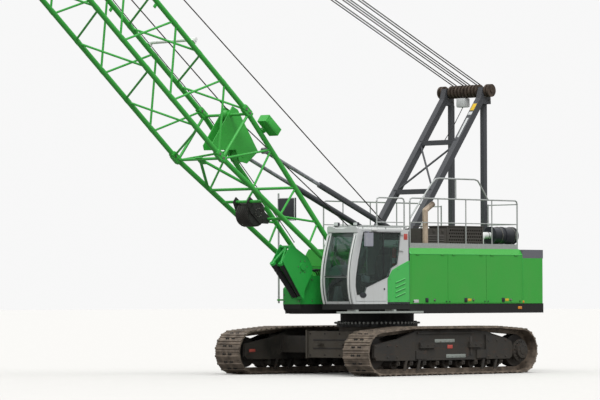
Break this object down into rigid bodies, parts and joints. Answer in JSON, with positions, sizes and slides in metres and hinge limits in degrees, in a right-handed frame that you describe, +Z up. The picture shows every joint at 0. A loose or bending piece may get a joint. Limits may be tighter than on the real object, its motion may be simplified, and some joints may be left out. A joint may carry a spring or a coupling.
{
  "type": "lattice-boom crawler crane",
  "caption": "Crawler crane with telescopic tracks, slewing house and cab, A-frame, and a lattice boom that carries a hook block.",
  "frame": {"origin": "slewing axis at ground level", "axes": "+X forward towards the boom, +Y to the cab's side (left), +Z up"},
  "size_m": [23.2378, 4.98, 16.1923],
  "materials": {
    "track_steel": "satin",
    "worn_steel": "worn",
    "dark_paint": "satin",
    "green_paint": "semi-gloss",
    "white_paint": "semi-gloss",
    "glazing": "clear",
    "seat_trim": "matt",
    "galvanised": "satin",
    "winch_steel": "satin",
    "hook_paint": "satin"
  },
  "bodies": {
    "carbody": {"car_body": "track_steel", "slew_ring": "worn_steel"},
    "left_track": {"left_track_frame": "track_steel", "left_track_wheels": "track_steel", "left_track_shoes": "worn_steel"},
    "right_track": {"right_track_frame": "track_steel", "right_track_wheels": "track_steel", "right_track_shoes": "worn_steel"},
    "upper": {"deck_frame": "dark_paint", "house_shell": "green_paint", "engine": "winch_steel", "counterweight": "green_paint", "weight_cap": "dark_paint", "roof_hood": "dark_paint", "exhaust_pipe": "galvanised", "air_filter": "dark_paint", "filter_elbow": "white_paint", "guard_rails": "galvanised", "cab_shell": "white_paint", "cab_glass": "glazing", "cab_seat": "seat_trim", "cab_trims": "seat_trim", "cab_panel": "green_paint", "cab_step": "galvanised", "cab_rail": "galvanised", "front_tank": "green_paint", "nose_box": "green_paint", "nose_fairlead": "green_paint", "fairlead_rollers": "winch_steel", "gantry_front": "dark_paint", "gantry_rear": "dark_paint"},
    "left_front_door": {"left_door_front": "green_paint"},
    "left_middle_door": {"left_door_middle": "green_paint"},
    "left_rear_door": {"left_door_rear": "green_paint"},
    "right_front_door": {"right_door_front": "green_paint"},
    "right_middle_door": {"right_door_middle": "green_paint"},
    "right_rear_door": {"right_door_rear": "green_paint"},
    "driver_door": {"cab_door": "white_paint", "cab_door_glass": "glazing", "cab_mirror": "seat_trim"},
    "apex_wheels": {"gantry_sheaves": "winch_steel"},
    "front_winch": {"front_drum": "winch_steel"},
    "rear_winch": {"rear_drum": "winch_steel"},
    "boom": {"boom_base": "green_paint", "boom_insert_1": "green_paint", "boom_insert_2": "green_paint", "boom_head": "green_paint", "boom_winch": "winch_steel", "boom_guide_sheave": "green_paint", "boom_cross_tube": "white_paint", "stay_bars": "dark_paint", "stay_bridle": "dark_paint"},
    "head_wheels": {"head_sheaves": "winch_steel"},
    "left_stop_tube": {"left_backstop_tube": "dark_paint"},
    "left_stop_rod": {"left_backstop_rod": "winch_steel"},
    "right_stop_tube": {"right_backstop_tube": "dark_paint"},
    "right_stop_rod": {"right_backstop_rod": "winch_steel"},
    "hook_set": {"hoist_falls": "winch_steel", "hook_block": "hook_paint", "hook": "hook_paint"}
  },
  "joints": [
    {"name": "left_track_extend", "type": "slide", "parent": "carbody", "child": "left_track", "axis": [0, 1, 0], "range_m": [-0.7, 0]},
    {"name": "right_track_extend", "type": "slide", "parent": "carbody", "child": "right_track", "axis": [0, -1, 0], "range_m": [-0.7, 0]},
    {"name": "slew", "type": "hinge", "parent": "carbody", "child": "upper", "pos_m": [0, 0, 1.3], "axis": [0, 0, 1], "continuous": true},
    {"name": "luff", "type": "hinge", "parent": "upper", "child": "boom", "pos_m": [1.2, 0, 1.93], "axis": [0, -1, 0], "range_deg": [-15, 43.7]},
    {"name": "hook_swing", "type": "hinge", "parent": "boom", "child": "hook_set", "pos_m": [18.22449, 0, 15.86438], "axis": [0, -1, 0], "range_deg": [-44.7, 16]},
    {"name": "head_wheel_spin", "type": "hinge", "parent": "boom", "child": "head_wheels", "pos_m": [18.22449, 0, 15.86438], "axis": [0, 1, 0], "continuous": true},
    {"name": "apex_wheel_spin", "type": "hinge", "parent": "upper", "child": "apex_wheels", "pos_m": [-3.33, 0, 6.95], "axis": [0, 1, 0], "continuous": true},
    {"name": "front_winch_spin", "type": "hinge", "parent": "upper", "child": "front_winch", "pos_m": [-0.42, 0, 2.25], "axis": [0, 1, 0], "continuous": true},
    {"name": "rear_winch_spin", "type": "hinge", "parent": "upper", "child": "rear_winch", "pos_m": [-1.4, 0, 2.25], "axis": [0, 1, 0], "continuous": true},
    {"name": "left_stop_swing", "type": "hinge", "parent": "upper", "child": "left_stop_tube", "pos_m": [-0.33, 0.43, 3.36], "axis": [0, -1, 0], "range_deg": [-16, 46]},
    {"name": "left_stop_slide", "type": "slide", "parent": "left_stop_tube", "child": "left_stop_rod", "axis": [0.9278, 0, 0.3731], "range_m": [-1.62, 0.6]},
    {"name": "right_stop_swing", "type": "hinge", "parent": "upper", "child": "right_stop_tube", "pos_m": [-0.33, -0.43, 3.36], "axis": [0, -1, 0], "range_deg": [-16, 46]},
    {"name": "right_stop_slide", "type": "slide", "parent": "right_stop_tube", "child": "right_stop_rod", "axis": [0.9278, 0, 0.3731], "range_m": [-1.62, 0.6]},
    {"name": "left_front_door_lift", "type": "hinge", "parent": "upper", "child": "left_front_door", "pos_m": [-0.005, 1.712, 2.86], "axis": [1, 0, 0], "range_deg": [0, 80]},
    {"name": "left_middle_door_lift", "type": "hinge", "parent": "upper", "child": "left_middle_door", "pos_m": [-1.37, 1.712, 2.86], "axis": [1, 0, 0], "range_deg": [0, 80]},
    {"name": "left_rear_door_lift", "type": "hinge", "parent": "upper", "child": "left_rear_door", "pos_m": [-2.74, 1.712, 2.86], "axis": [1, 0, 0], "range_deg": [0, 80]},
    {"name": "right_front_door_lift", "type": "hinge", "parent": "upper", "child": "right_front_door", "pos_m": [-0.005, -1.712, 2.86], "axis": [-1, 0, 0], "range_deg": [0, 80]},
    {"name": "right_middle_door_lift", "type": "hinge", "parent": "upper", "child": "right_middle_door", "pos_m": [-1.37, -1.712, 2.86], "axis": [-1, 0, 0], "range_deg": [0, 80]},
    {"name": "right_rear_door_lift", "type": "hinge", "parent": "upper", "child": "right_rear_door", "pos_m": [-2.74, -1.712, 2.86], "axis": [-1, 0, 0], "range_deg": [0, 80]},
    {"name": "driver_door_swing", "type": "hinge", "parent": "upper", "child": "driver_door", "pos_m": [0.985, 1.724, 2.5], "axis": [0, 0, 1], "range_deg": [0, 90]}
  ],
  "couplings": [
    {"joint": "hook_swing", "follows": "luff", "ratio": -1},
    {"joint": "left_stop_swing", "follows": "luff", "ratio": 0.9677},
    {"joint": "left_stop_slide", "follows": "luff", "m_per_rad": -2.0393},
    {"joint": "right_stop_swing", "follows": "luff", "ratio": 0.9677},
    {"joint": "right_stop_slide", "follows": "luff", "m_per_rad": -2.0393}
  ]
}
